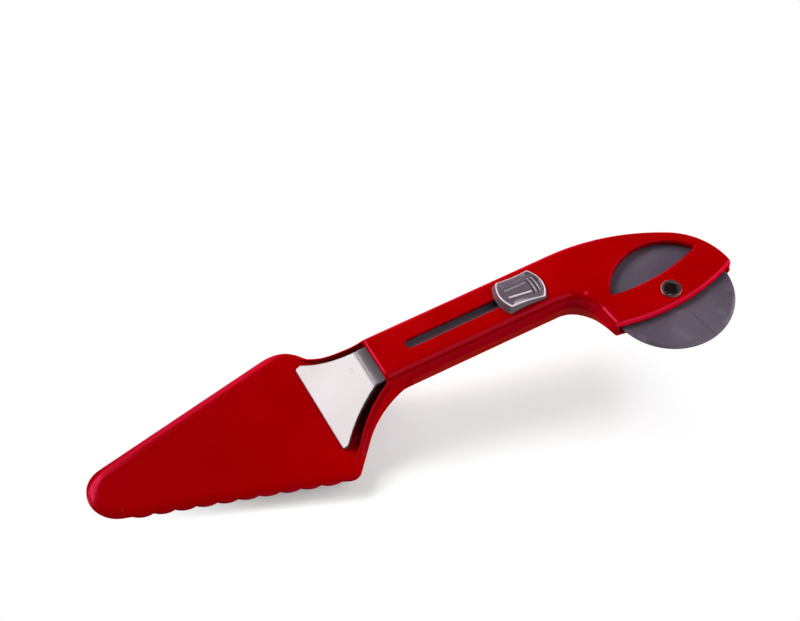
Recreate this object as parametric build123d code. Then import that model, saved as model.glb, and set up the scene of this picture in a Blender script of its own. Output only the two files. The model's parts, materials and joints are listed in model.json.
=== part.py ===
from build123d import *
import math
import os

# A pizza wheel and server in one tool: a serrated server blade with a pusher that a thumb button drives
# along the handle, and a cutting wheel in a guard at the other end.
# Sizes are in millimetres and degrees. X runs from the blade to the wheel and Z points up. The underside of
# the blade lies on Z = 0, and the origin is on the centre line at the blade's shoulders.
# The handle has a frame of its own: u along it, v across it and w up from its top face.

# Server blade
blade_length = 103.0
blade_width = 73.4
blade_thickness = 2.2
blade_edge = 0.9
edge_fall_width = 5.0
tip_radius = 13.4
shoulder_radius = 16.0
scallop_depth = 1.1
scallop_count = 10
scallop_tip_margin = 3.8
scallop_shoulder_margin = 7.54
scallop_shoulder_radius = 6.0

# Neck between the blade and the handle
neck_length = 31.4
neck_height = 25.15
neck_inner_half = 10.5
neck_inner_start = 42.0
neck_inner_radius = 36.5
near_flare_start = 43.8
near_flare_radius = 33.5
far_flare_start = 42.0
far_flare_radius = 34.65
flare_angle = 49.2
ramp_start = 18.4
ramp_angle = 29.7
ramp_thickness = 2.2
lip_toe = 7.0
lip_knee = 12.5
lip_knee_rise = 2.2
lip_crest_drop = 2.3
lip_sag = 0.5
near_lip_fall = 0.3
far_lip_fall = 0.75
lip_steps = 8
near_lip_rounding = 2.2
far_lip_rounding = 2.2

# Handle
handle_pitch = 6.4
handle_width = 24.7
handle_depth = 14.4
handle_top_wall = 1.6
handle_side_wall = 2.2
handle_front_rounding = 1.5
handle_side_rounding = 4.5
channel_rear = 94.0
channel_rounding = 1.5
parting_depth = 6.8
parting_gap = 0.1
skirt_depth = 1.7
skirt_end_depth = 0.3
base_front = 12.0
base_wall = 2.0
base_rounding = 1.4
base_slope_turn = 45.0
base_slope_start = 79.0
base_slope_end = 102.0

# Wheel and its guard
wheel_u = 133.3
wheel_v = -31.0
wheel_radius = 29.0
wheel_thickness = 1.8
wheel_edge = 0.5
wheel_bevel_width = 1.2
hub_radius = 7.0
hub_end_gap = 0.1
guard_top_plate = 2.6
guard_base_plate = 1.8
guard_rim_gap = 1.2
guard_rim_wall = 2.6
guard_far_start = 95.0
guard_nose_angle = 0.5
guard_cut_drop = 7.8
guard_end_u = 100.3
guard_end_lean = 6.6
guard_corner_v = -35.6
guard_outer_rounding = 2.2
guard_cut_rounding = 2.4
guard_corner_rounding = 1.5
recess_radius = 13.7
window_radius = 27.0
window_front_angle = 157.5
window_rear_angle = 34.0
window_lower_depth = 21.4
window_corner_radius = 0.4
window_rounding = 1.0
slot_rounding = 0.5

# Axle eyelet and its washer
axle_radius = 4.2
axle_wall = 0.7
axle_clearance = 0.05
eyelet_flange_radius = 4.8
eyelet_flange_height = 0.45
eyelet_roll_radius = 6.0
eyelet_mouth_radius = 5.2
eyelet_roll_height = 0.6
eyelet_rounding = 0.25
washer_radius = 6.5
washer_thickness = 0.4

# Thumb slider, its stem and the cross pin
slider_rest_u = 72.0
slider_travel = 54.0
slider_lift = 0.2
slider_front = 7.0
slider_rear = 9.0
slider_front_bulge = 2.6
slider_rear_bulge = 3.1
slider_front_width = 14.8
slider_rear_width = 15.0
slider_waist_width = 13.8
slider_front_height = 4.0
slider_rear_height = 1.8
slider_rim = 1.2
slider_dish = 0.6
slider_corner_radius = 1.0
slider_flare = 1.1
slider_draft = 16.0
grip_count = 3
grip_pitch = 1.9
grip_width = 0.9
grip_height = 0.4
grip_margin = 1.0
grip_half_angle = 15.0
grip_arc_radius = 18.0
stem_radius = 2.2
stem_side_clearance = 0.15
stem_end_clearance = 0.4
stem_below_pin = 2.2
pin_radius = 1.0
pin_length = 9.0
pin_fit = 0.01
pin_clearance = 0.03

# Pusher
pusher_front_x = 5.6
pusher_lift = 0.25
pusher_edge = 0.75
pusher_thickness = 1.8
pusher_width = 46.8
pusher_end_length = 2.3
pusher_side_sag = 1.5
pusher_corner_radius = 0.8
pusher_bend_u = -4.4
pusher_bend_radius = 7.0
flange_thickness = 1.2
flange_depth = 4.0
flange_angle = 9.0
arm_depth = 3.4
head_width = 19.4
head_rear_u = 8.0
arm_width = 10.4
arm_tail = 8.0
arm_corner_radius = 2.0
ear_radius = 2.3
ear_slit = 1.7
ear_clearance = 0.15

# Screws that close the handle
screw_side = 8.0
screw_front_u = 24.0
screw_rear_u = 84.0
screw_guard_u = 107.0
screw_guard_v = 2.0
screw_shank_radius = 1.0
screw_shank_length = 5.5
screw_clearance = 0.05
screw_head_radius = 2.0
screw_head_height = 1.4
screw_head_clearance = 0.2
screw_seat_depth = 8.6
screw_tip_gap = 0.5
boss_radius = 2.4
base_boss_radius = 3.0
screw_head_rounding = 0.5

# Worked out from the sizes above
handle_frame = Location((neck_length, 0, neck_height), (0, -handle_pitch, 0))
half_width = handle_width / 2
channel_half = half_width - handle_side_wall
wheel_centre = (wheel_u, wheel_v)
guard_cavity_radius = wheel_radius + guard_rim_gap
guard_radius = guard_cavity_radius + guard_rim_wall
guard_depth = parting_depth + guard_base_plate
wheel_depth = (guard_top_plate + parting_depth) / 2
hub_height = parting_depth - guard_top_plate - 2 * hub_end_gap
hole_radius = axle_radius + axle_clearance
slot_front = slider_rest_u - slider_travel - stem_radius - stem_end_clearance
slot_rear = slider_rest_u + stem_radius + stem_end_clearance
slot_width = 2 * (stem_radius + stem_side_clearance)
pin_depth = arm_depth + pusher_thickness / 2
big = 2 * (blade_length + wheel_u + wheel_radius)


def polar(centre, radius, angle):
    """Point at a radius and an angle from a centre."""
    turn = math.radians(angle)
    return (centre[0] + radius * math.cos(turn), centre[1] + radius * math.sin(turn))


def arc(centre, radius, start, end):
    """Circular arc between two angles."""
    angles = (start, (start + end) / 2, end)
    return ThreePointArc(*[polar(centre, radius, angle) for angle in angles])


def handle_point(u, w):
    """Point of the handle's middle plane as (X, Z)."""
    turn = math.radians(handle_pitch)
    x = neck_length + u * math.cos(turn) - w * math.sin(turn)
    z = neck_height + u * math.sin(turn) + w * math.cos(turn)
    return (x, z)


def offset_path(points, distance):
    """Polyline moved to the left of its direction by a distance, with mitred corners."""
    normals = []
    for (x0, y0), (x1, y1) in zip(points, points[1:]):
        length = math.dist((x0, y0), (x1, y1))
        normals.append(((y0 - y1) / length, (x1 - x0) / length))
    before = normals[:1] + normals
    after = normals + normals[-1:]
    moved = []
    for (x, y), (ax, ay), (bx, by) in zip(points, before, after):
        stretch = distance / (1 + ax * bx + ay * by)
        moved.append((x + (ax + bx) * stretch, y + (ay + by) * stretch))
    return moved


def upright(face, bottom, top):
    """Prism of a plan outline between two heights."""
    return Pos(0, 0, bottom) * extrude(face, top - bottom, dir=(0, 0, 1))


def across(face, half):
    """Prism of a side outline, as wide on both sides of the middle plane."""
    return extrude(Plane.XZ * face, half, both=True)


def block(low, high):
    """Box between two corners."""
    size = [b - a for a, b in zip(low, high)]
    return Pos(*low) * Box(*size, align=(Align.MIN, Align.MIN, Align.MIN))


def post(u, v, radius, bottom, top):
    """Upright cylinder between two heights."""
    bottom_aligned = (Align.CENTER, Align.CENTER, Align.MIN)
    return Pos(u, v, bottom) * Cylinder(radius, top - bottom, align=bottom_aligned)


# Plan of the blade and neck

def edge_angle():
    """Angle between the blade's side edge and its centre line."""
    reach = blade_length - tip_radius
    half = blade_width / 2
    return math.degrees(math.atan2(half, reach) - math.asin(tip_radius / math.hypot(reach, half)))


def edge_point(distance, outward, side):
    """Point along a side edge from the tip arc's end, and outward from it."""
    angle = edge_angle()
    start = polar((tip_radius - blade_length, 0), tip_radius + outward, 90 + angle)
    x, y = polar(start, distance, angle)
    return (x, side * y)


def flare_start(side):
    """Place where the neck's side begins to flare out of the handle."""
    return (near_flare_start, -half_width) if side < 0 else (far_flare_start, half_width)


def flare_arc(side):
    """Arc of the neck's side, from the handle to the straight slant."""
    x, y = flare_start(side)
    radius = near_flare_radius if side < 0 else far_flare_radius
    return arc((x, y + side * radius), radius, -90 * side, -(90 + flare_angle) * side)


def flare_end(side):
    """Point where the flare's arc turns into its straight slant."""
    end = flare_arc(side) @ 1
    return (end.X, end.Y)


def shoulder_corner(outward, side):
    """Where the slant of the flare meets the line of the blade's edge."""
    x0, y0 = edge_point(0, outward, 1)
    x1 = flare_end(side)[0]
    y1 = abs(flare_end(side)[1])
    rise = math.tan(math.radians(edge_angle()))
    fall = -math.tan(math.radians(flare_angle))
    x = (y1 - y0 + rise * x0 - fall * x1) / (rise - fall)
    return (x, side * (y0 + rise * (x - x0)))


def blade_plan():
    """Outline of the blade and neck, with the scalloped edge on the near side."""
    rear = handle_point(base_front, -handle_depth)[0]
    far_corner = shoulder_corner(0, 1)
    near_corner = shoulder_corner(scallop_depth, -1)
    near_edge = math.dist(edge_point(0, scallop_depth, -1), near_corner)
    pitch = (near_edge - scallop_tip_margin - scallop_shoulder_margin) / scallop_count
    edges = [Line((rear, -half_width), (rear, half_width))]
    edges += [Line((rear, half_width), flare_start(1))]
    edges += [flare_arc(1)]
    edges += [Line(flare_end(1), far_corner)]
    edges += [Line(far_corner, edge_point(0, 0, 1))]
    edges += [ThreePointArc(edge_point(0, 0, 1), (-blade_length, 0), edge_point(0, 0, -1))]
    edges += [Line(edge_point(0, 0, -1), edge_point(scallop_tip_margin, 0, -1))]
    for index in range(scallop_count):
        start = scallop_tip_margin + index * pitch
        crest = edge_point(start + pitch / 2, scallop_depth, -1)
        end = edge_point(start + pitch, 0, -1)
        edges += [ThreePointArc(edge_point(start, 0, -1), crest, end)]
    edges += [Line(end, near_corner)]
    edges += [Line(near_corner, flare_end(-1))]
    edges += [flare_arc(-1)]
    edges += [Line(flare_start(-1), (rear, -half_width))]
    plan = make_face(edges)
    plan = fillet(plan.vertices().sort_by_distance(far_corner)[0], shoulder_radius)
    return fillet(plan.vertices().sort_by_distance(near_corner)[0], scallop_shoulder_radius)


def neck_plan():
    """Outline of the neck alone, run on past the shoulders."""
    rear = handle_point(base_front, -handle_depth)[0]
    edges = [Line((rear, -half_width), (rear, half_width))]
    runs = []
    for side in (-1, 1):
        runs.append(polar(flare_end(side), blade_width / 2, side * (180 - flare_angle)))
        edges += [Line((rear, side * half_width), flare_start(side))]
        edges += [flare_arc(side)]
        edges += [Line(flare_end(side), runs[-1])]
    edges += [Line(*runs)]
    return make_face(edges)


def neck_inside_plan():
    """Outline of the space between the neck's side walls, run on past both ends."""
    edges = [Line((big, -neck_inner_half), (big, neck_inner_half))]
    for side in (-1, 1):
        centre = (neck_inner_start, side * (neck_inner_half + neck_inner_radius))
        end_angle = -(90 + flare_angle) * side
        bend = polar(centre, neck_inner_radius, end_angle)
        run = polar(bend, blade_width, side * (180 - flare_angle))
        edges += [Line((big, side * neck_inner_half), (neck_inner_start, side * neck_inner_half))]
        edges += [arc(centre, neck_inner_radius, -90 * side, end_angle)]
        edges += [Polyline(bend, run, (run[0], 0))]
    return make_face(edges)


# Server body

def edge_space(start, inner, outer):
    """Section of the space above the blade's edge, from where its top begins to fall in an arc."""
    top = 2 * blade_thickness
    fall = TangentArc((inner, blade_thickness), (start, blade_edge), tangent=(start - inner, 0))
    ends = [(outer, blade_edge), (outer, top), (inner, top)]
    rest = Polyline((start, blade_edge), *ends, (inner, blade_thickness))
    return make_face([fall, rest])


def side_edge_space(side):
    """Space above one side edge of the blade."""
    outward = scallop_depth if side < 0 else 0
    angle = edge_angle()
    start = edge_point(0, outward, side)
    inward = (*polar((0, 0), 1, side * (angle - 90)), 0)
    along = Vector(*polar((0, 0), 1, side * angle))
    section = Plane((*start, 0), x_dir=inward, z_dir=-side * along)
    return extrude(section * edge_space(0, edge_fall_width, -edge_fall_width), -side * blade_length)


def tip_edge_space():
    """Space above the edge of the blade's round tip."""
    inner = tip_radius - edge_fall_width
    ring = revolve(Plane.XZ * edge_space(tip_radius, inner, tip_radius + edge_fall_width), Axis.Z)
    start = 90 + edge_angle()
    rim = [polar((0, 0), big, start), (-big, 0), polar((0, 0), big, -start)]
    sector = upright(make_face(Polyline((0, 0), *rim, close=True)), -1, 2 * blade_thickness)
    return Pos(tip_radius - blade_length, 0, 0) * (ring & sector)


def blade_plate():
    plate = upright(blade_plan(), 0, blade_thickness)
    plate &= block((-big, -big, -1), (ramp_start, big, big))
    return plate - side_edge_space(1) - side_edge_space(-1) - tip_edge_space()


def ramp_top_corner():
    """Point where the underside of the ramp meets the underside of the handle, as (X, Z)."""
    x0, z0 = handle_point(0, -handle_depth)
    slope = math.tan(math.radians(handle_pitch))
    ramp = math.tan(math.radians(ramp_angle))
    x = (z0 - slope * x0 + ramp * ramp_start) / (ramp - slope)
    return (x, ramp * (x - ramp_start))


def underside_path():
    """Underside of the blade's heel, the ramp and the neck's end, as (X, Z) points."""
    return [(lip_toe, 0), (ramp_start, 0), ramp_top_corner(), handle_point(base_front, -handle_depth)]


def neck_prism():
    """The neck's outer form."""
    return upright(neck_plan(), 0, neck_height)


def neck_floor():
    lower = underside_path()
    upper = offset_path(lower, ramp_thickness)
    floor = across(make_face(Polyline(*lower, *reversed(upper), close=True)), blade_width)
    return floor & neck_prism() & upright(blade_plan(), 0, neck_height)


def inside_reach(x):
    """Distance of the neck's inner wall from the centre line at a place along X."""
    turn = math.radians(flare_angle)
    run = neck_inner_start - x
    bend = neck_inner_radius * math.sin(turn)
    if run <= bend:
        return neck_inner_half + neck_inner_radius - math.sqrt(neck_inner_radius**2 - max(run, 0) ** 2)
    rise = neck_inner_radius * (1 - math.cos(turn))
    return neck_inner_half + rise + (run - bend) * math.tan(turn)


def lip_crest():
    """Crest of the lips along the inner wall: an easy start on the blade, then a steady rise."""
    x0, z0 = lip_knee, blade_thickness + lip_knee_rise
    x1, z1 = handle_point(0, -lip_crest_drop)
    middle = ((x0 + x1) / 2, (z0 + z1) / 2 + lip_sag)
    ends = [(1, 0), (x1 - x0, z1 - z0)]
    return Spline((lip_toe, blade_thickness), (x0, z0), middle, (x1, z1), tangents=ends)


def lip_roof(side):
    """Space below the top of one lip, which falls outward from its crest."""
    fall = near_lip_fall if side < 0 else far_lip_fall
    places = [lip_crest() @ (index / lip_steps) for index in range(lip_steps + 1)]
    ridge = [(place.X, place.Y + fall * inside_reach(place.X)) for place in places]
    x, z = handle_point(base_front, -lip_crest_drop)
    back = (x, z + fall * neck_inner_half)
    edges = [Spline(*ridge)]
    edges += [Polyline(ridge[-1], back, (back[0], -big), (lip_toe, -big), ridge[0])]
    return extrude(Plane.XZ * make_face(edges), blade_width, dir=(0, side, -fall))


def neck_lips():
    """The two side walls of the neck, falling from the handle's front to the blade."""
    lower = underside_path()
    ends = [(lower[-1][0], neck_height), (lip_toe, neck_height)]
    wall = neck_prism() - upright(neck_inside_plan(), -1, big)
    wall &= across(make_face(Polyline(*lower, *ends, close=True)), blade_width)
    wall &= upright(blade_plan(), 0, neck_height)
    return wall & (lip_roof(-1) + lip_roof(1))


def handle_plan():
    """Outline of the handle and guard in the handle's frame."""
    run = wheel_u - guard_far_start
    drop = half_width - wheel_v
    far_radius = (run**2 + drop**2 - guard_radius**2) / (2 * (drop - guard_radius))
    far_centre = (guard_far_start, half_width - far_radius)
    join_angle = math.degrees(math.atan2(wheel_v - far_centre[1], run))
    nose = polar(wheel_centre, guard_radius, guard_nose_angle)
    recess_centre = (guard_end_u - recess_radius, -half_width - recess_radius)
    recess_end = polar(recess_centre, recess_radius, guard_end_lean)
    lean = math.tan(math.radians(guard_end_lean))
    corner = (recess_end[0] + lean * (recess_end[1] - guard_corner_v), guard_corner_v)
    edges = [Line((0, -half_width), (0, half_width))]
    edges += [Line((0, half_width), (guard_far_start, half_width))]
    edges += [arc(far_centre, far_radius, 90, join_angle)]
    edges += [arc(wheel_centre, guard_radius, join_angle, guard_nose_angle)]
    edges += [ThreePointArc(nose, (wheel_u, wheel_v - guard_cut_drop), corner)]
    edges += [Line(corner, recess_end)]
    edges += [arc(recess_centre, recess_radius, guard_end_lean, 90)]
    edges += [Line(polar(recess_centre, recess_radius, 90), (0, -half_width))]
    return make_face(edges)


def softened_plan():
    """Outline of the handle and guard with the guard's free corner rounded."""
    plan = handle_plan()
    corner = plan.vertices().sort_by_distance((guard_end_u, guard_corner_v))[0]
    return fillet(corner, guard_corner_rounding)


def rounded_shell():
    """The upper shell's outer form, with its top edges rounded."""
    shell = upright(handle_plan(), -handle_depth, 0)
    recess_middle = polar((guard_end_u - recess_radius, -half_width - recess_radius), recess_radius, 45)
    chains = [
        (handle_side_rounding, [(guard_far_start / 2, -half_width), recess_middle]),
        (guard_outer_rounding, [(guard_far_start / 2, half_width)]),
        (guard_cut_rounding, [(wheel_u, wheel_v - guard_cut_drop)]),
        (handle_front_rounding, [(0, 0)]),
    ]
    for rounding, middles in chains:
        edges = [shell.edges().sort_by_distance((*middle, 0))[0] for middle in middles]
        shell = fillet(edges, rounding)
    return shell & upright(softened_plan(), -handle_depth, 0)


def window_plan():
    """Lens-shaped window in the guard, above the wheel."""
    front = polar(wheel_centre, window_radius, window_front_angle)
    rear = polar(wheel_centre, window_radius, window_rear_angle)
    upper = arc(wheel_centre, window_radius, window_front_angle, window_rear_angle)
    lower = ThreePointArc(rear, (wheel_u, -window_lower_depth), front)
    plan = make_face([upper, lower])
    return fillet(plan.vertices(), window_corner_radius)


def screw_places():
    """Places of the screws in the handle's frame."""
    places = [(u, side * screw_side) for u in (screw_front_u, screw_rear_u) for side in (-1, 1)]
    return places + [(screw_guard_u, screw_guard_v)]


def channel():
    """Long hollow under the handle's top, with its upper edges rounded."""
    hollow = block((-1, -channel_half, -handle_depth), (channel_rear, channel_half, -handle_top_wall))
    upper = hollow.edges().filter_by(Axis.X).group_by(Axis.Z)[-1]
    return fillet(upper, channel_rounding)


def handle_shell():
    """Upper shell of the handle with the guard's top plate, in the handle's frame."""
    shell = rounded_shell()
    shell -= block((base_front, -big, -big), (big, big, -parting_depth))
    shell += side_skirts()
    shell -= channel()
    for u, v in screw_places():
        shell += post(u, v, boss_radius, -parting_depth, -handle_top_wall / 2)
    slot_middle = (slot_front + slot_rear) / 2
    slot = Pos(slot_middle, 0) * SlotOverall(slot_rear - slot_front, slot_width)
    shell -= upright(slot, -handle_top_wall - 1, 1)
    shell -= post(*wheel_centre, guard_cavity_radius, -parting_depth - 1, -guard_top_plate)
    shell -= post(*wheel_centre, hole_radius, -handle_depth, 1)
    shell -= upright(window_plan(), -handle_depth, 1)
    pilot_top = screw_shank_length + screw_tip_gap - screw_seat_depth
    for u, v in screw_places():
        shell -= post(u, v, screw_shank_radius + screw_clearance, -handle_depth, pilot_top)
    rims = [
        (slot_rounding, (slot_middle, slot_width / 2, 0)),
        (window_rounding, (wheel_u, -window_lower_depth, 0)),
    ]
    for rounding, rim in rims:
        shell = fillet(shell.edges().sort_by_distance(rim)[0], rounding)
    return shell


def blade_and_neck():
    """The blade with the neck, its lips rounded on the outside."""
    front = blade_plate() + neck_floor() + neck_lips()
    middle = lip_crest() @ 0.5
    for side, rounding in ((-1, near_lip_rounding), (1, far_lip_rounding)):
        place = (middle.X, side * blade_width / 2, middle.Y)
        front = fillet(front.edges().sort_by_distance(place)[0], rounding)
    return front


def make_server_body():
    body = blade_and_neck() + handle_frame * handle_shell()
    turn = ramp_top_corner()
    rear = handle_point(base_front, -handle_depth)
    x, z = ((a + b) / 2 for a, b in zip(turn, rear))
    places = [(x, side * half_width, z) for side in (-1, 1)]
    return fillet([body.edges().sort_by_distance(place)[0] for place in places], base_rounding)


# Lower shell of the handle

def double_bend(deep, shallow):
    """Side line from under the handle to under the guard, rising in an easy double bend."""
    run = (base_slope_end - base_slope_start) / 2
    rise = (deep - shallow) / 2
    radius = (run**2 + rise**2) / (2 * rise)
    turn = math.degrees(math.asin(run / radius))
    edges = [Line((-big, -deep), (base_slope_start, -deep))]
    edges += [arc((base_slope_start, radius - deep), radius, 270, 270 + turn)]
    edges += [arc((base_slope_end, -radius - shallow), radius, 90 + turn, 90)]
    return edges


def base_depth():
    """Space that the lower shell takes up, thinning on a slant from the handle to the guard."""
    edges = double_bend(handle_depth, guard_depth)
    ends = [(base_slope_end, -guard_depth), (big, -guard_depth), (big, -parting_depth)]
    edges += [Polyline(*ends, (-big, -parting_depth), (-big, -handle_depth))]
    return Rot(0, 0, -base_slope_turn) * across(make_face(edges), big)


def side_skirts():
    """Lower strips of the upper shell's side walls, which cover the joint along the handle."""
    shallow = parting_depth + skirt_end_depth
    edges = double_bend(parting_depth + skirt_depth, shallow)
    ends = [(base_slope_end, -shallow), (base_slope_end, -parting_depth), (-big, -parting_depth)]
    edges += [Polyline(*ends, (-big, -parting_depth - skirt_depth))]
    strips = Rot(0, 0, -base_slope_turn) * across(make_face(edges), big)
    strips &= upright(handle_plan(), -handle_depth, -parting_depth)
    strips -= block((-big, -channel_half, -handle_depth), (channel_rear, channel_half, 0))
    return strips & block((base_front, -big, -handle_depth), (big, big, 0))


def base_hollow():
    """Hollow of the lower shell, below the channel of the upper one."""
    front = base_front + parting_gap + base_wall
    floor = base_wall - handle_depth
    return block((front, -channel_half, floor), (channel_rear, channel_half, -parting_depth))


def base_form():
    """Outer form of the lower shell, with its lower edges rounded."""
    front = base_front + parting_gap
    form = upright(handle_plan(), -handle_depth, -parting_depth)
    form &= block((front, -big, -handle_depth), (big, big, -parting_depth))
    form &= base_depth()
    middle = (front + base_slope_start) / 2
    places = [(middle, side * half_width, -handle_depth) for side in (-1, 1)]
    form = fillet([form.edges().sort_by_distance(place)[0] for place in places], base_rounding)
    return form & upright(softened_plan(), -handle_depth, 0)


def make_handle_base():
    base = base_form() - base_hollow()
    for u, v in screw_places():
        base += post(u, v, base_boss_radius, -screw_seat_depth - screw_head_height, -parting_depth)
        base -= post(u, v, screw_head_radius + screw_head_clearance, -handle_depth, -screw_seat_depth)
        base -= post(u, v, screw_shank_radius + screw_clearance, -handle_depth, 0)
    base -= post(*wheel_centre, hole_radius, -handle_depth, 0)
    return handle_frame * (base - side_skirts())


def make_base_screws():
    """Round-headed screws, driven from below."""
    screws = []
    seat = screw_seat_depth
    for u, v in screw_places():
        head = post(u, v, screw_head_radius, -seat - screw_head_height, -seat)
        head = fillet(head.faces().sort_by(Axis.Z)[0].edges(), screw_head_rounding)
        shank = post(u, v, screw_shank_radius, -seat, screw_shank_length - seat)
        screws.append(handle_frame * (head + shank))
    return Compound(children=screws)


# Cutting wheel on its eyelet

def make_cutter_wheel():
    half = wheel_thickness / 2
    flat = wheel_radius - wheel_bevel_width
    upper = [
        (hole_radius, hub_height / 2),
        (hub_radius, hub_height / 2),
        (hub_radius, half),
        (flat, half),
        (wheel_radius, wheel_edge / 2),
    ]
    lower = [(radius, -height) for radius, height in reversed(upper)]
    section = make_face(Polyline(*upper, *lower, close=True))
    wheel = revolve(Plane.XZ * section, Axis.Z)
    return handle_frame * (Pos(*wheel_centre, -wheel_depth) * wheel)


def make_axle_eyelet():
    """Hollow rivet: the wheel's axle, with a flange on top and a rolled end below."""
    seat = guard_depth + washer_thickness
    barrel = post(*wheel_centre, axle_radius, -seat, 0)
    flange = post(*wheel_centre, eyelet_flange_radius, 0, eyelet_flange_height)
    roll = post(*wheel_centre, eyelet_roll_radius, -seat - eyelet_roll_height, -seat)
    flange = fillet(flange.faces().sort_by(Axis.Z)[-1].edges(), eyelet_rounding)
    roll = fillet(roll.faces().sort_by(Axis.Z)[0].edges(), eyelet_rounding)
    bore_radius = axle_radius - axle_wall
    bore = post(*wheel_centre, bore_radius, -seat - eyelet_roll_height, eyelet_flange_height)
    below = (Align.CENTER, Align.CENTER, Align.MAX)
    mouth = Cone(eyelet_mouth_radius, bore_radius, eyelet_roll_height, align=below)
    return handle_frame * (barrel + flange + roll - bore - Pos(*wheel_centre, -seat) * mouth)


def make_eyelet_washer():
    top = -guard_depth
    washer = post(*wheel_centre, washer_radius, top - washer_thickness, top)
    return handle_frame * (washer - post(*wheel_centre, hole_radius, top - washer_thickness, top))


# Thumb slider and pin

def slider_top(u, drop=0.0):
    """Point on the slider's sloping top, or a drop below it."""
    slope = (slider_rear_height - slider_front_height) / (slider_front + slider_rear)
    return (u, slider_front_height + slope * (u - slider_rest_u + slider_front) - drop)


def slider_plan():
    """Outline of the thumb slider: bowed ends and slightly drawn-in sides."""
    front = slider_rest_u - slider_front
    rear = slider_rest_u + slider_rear
    middle = (front + rear) / 2
    corners = [(front, slider_front_width / 2), (rear, slider_rear_width / 2)]
    corners += [(u, -v) for u, v in reversed(corners)]
    edges = [ThreePointArc(corners[0], (middle, slider_waist_width / 2), corners[1])]
    edges += [ThreePointArc(corners[1], (rear + slider_rear_bulge, 0), corners[2])]
    edges += [ThreePointArc(corners[2], (middle, -slider_waist_width / 2), corners[3])]
    edges += [ThreePointArc(corners[3], (front - slider_front_bulge, 0), corners[0])]
    plan = make_face(edges)
    return fillet(plan.vertices(), slider_corner_radius)


def slider_layer(drop, height):
    """Slab of a height whose underside lies a drop below the slider's sloping top."""
    ends = [slider_top(slider_rest_u + reach, drop) for reach in (-slider_travel, slider_travel)]
    raised = [(u, w + height) for u, w in ends]
    return across(make_face(Polyline(*ends, *reversed(raised), close=True)), slider_travel)


def grip_ridges():
    """Curved ridges in the slider's dish, towards its rear end."""
    ridges = []
    last = slider_rest_u + slider_rear + slider_rear_bulge - slider_rim - grip_margin
    for index in range(grip_count):
        outer = last - index * grip_pitch
        centre = (outer - grip_arc_radius, 0)
        inner_radius = grip_arc_radius - grip_width
        edges = [arc(centre, grip_arc_radius, -grip_half_angle, grip_half_angle)]
        edges += [arc(centre, inner_radius, grip_half_angle, -grip_half_angle)]
        for angle in (-grip_half_angle, grip_half_angle):
            edges += [Line(polar(centre, inner_radius, angle), polar(centre, grip_arc_radius, angle))]
        ridges.append(upright(make_face(edges), 0, slider_front_height))
    return ridges


def make_thumb_slider():
    plan = slider_plan()
    foot = Pos(0, 0, slider_lift) * offset(plan, slider_flare)
    button = extrude(foot, 2 * slider_front_height, taper=slider_draft)
    button -= slider_layer(0, 2 * slider_front_height)
    dish = upright(offset(plan, -slider_rim), 0, 2 * slider_front_height)
    button -= dish & slider_layer(slider_dish, slider_front_height)
    for ridge in grip_ridges():
        button += ridge & slider_layer(slider_dish + grip_height, 2 * grip_height)
    button += post(slider_rest_u, 0, stem_radius, -pin_depth - stem_below_pin, slider_lift)
    button -= cross_bar(pin_radius + pin_fit, 4 * stem_radius)
    return handle_frame * button


def cross_bar(radius, length):
    """Round bar across the handle on the pin's axis."""
    return Pos(slider_rest_u, 0, -pin_depth) * Rot(90, 0, 0) * Cylinder(radius, length)


def make_slider_pin():
    return handle_frame * cross_bar(pin_radius, pin_length)


# Pusher

def pusher_plan():
    """Outline of the pusher from above: wide front edge, drawn-in sides, head and narrow arm."""
    bend_x = handle_point(pusher_bend_u, -arm_depth)[0]
    head_x = handle_point(head_rear_u, -arm_depth)[0]
    tail_x = handle_point(slider_rest_u + arm_tail, -arm_depth)[0]
    side_x = pusher_front_x + pusher_end_length
    edges = [Line((pusher_front_x, -pusher_width / 2), (pusher_front_x, pusher_width / 2))]
    edges += [Line((tail_x, -arm_width / 2), (tail_x, arm_width / 2))]
    for side in (-1, 1):
        front = side * pusher_width / 2
        head = side * head_width / 2
        arm = side * arm_width / 2
        edges += [Line((pusher_front_x, front), (side_x, front))]
        edges += [SagittaArc((side_x, front), (bend_x, head), -side * pusher_side_sag)]
        edges += [Polyline((bend_x, head), (head_x, head), (head_x, arm), (tail_x, arm))]
    plan = make_face(edges)
    plan = fillet(plan.vertices().group_by(Axis.X)[0], pusher_corner_radius)
    steps = [v for v in plan.vertices() if abs(v.X - head_x) < parting_gap]
    return fillet(steps, arm_corner_radius)


def side_flanges():
    """Flanges under the pusher's sloping sides, as deep all along but for the front."""
    foot = blade_thickness + pusher_lift
    bend_x, bend_z = handle_point(pusher_bend_u, -arm_depth)
    run = bend_x - pusher_front_x
    slope = (bend_z - foot - pusher_edge) / run
    front_slope = math.tan(math.radians(flange_angle))
    turn = (flange_depth - pusher_edge) / (slope - front_slope)
    corners = [
        (pusher_front_x, foot),
        (pusher_front_x + turn, foot + front_slope * turn),
        (bend_x, bend_z - flange_depth),
        (bend_x, bend_z - pusher_thickness),
    ]
    plan = pusher_plan()
    ring = upright(plan - offset(plan, -flange_thickness), foot, big)
    return ring & across(make_face(Polyline(*corners, close=True)), pusher_width)


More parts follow.
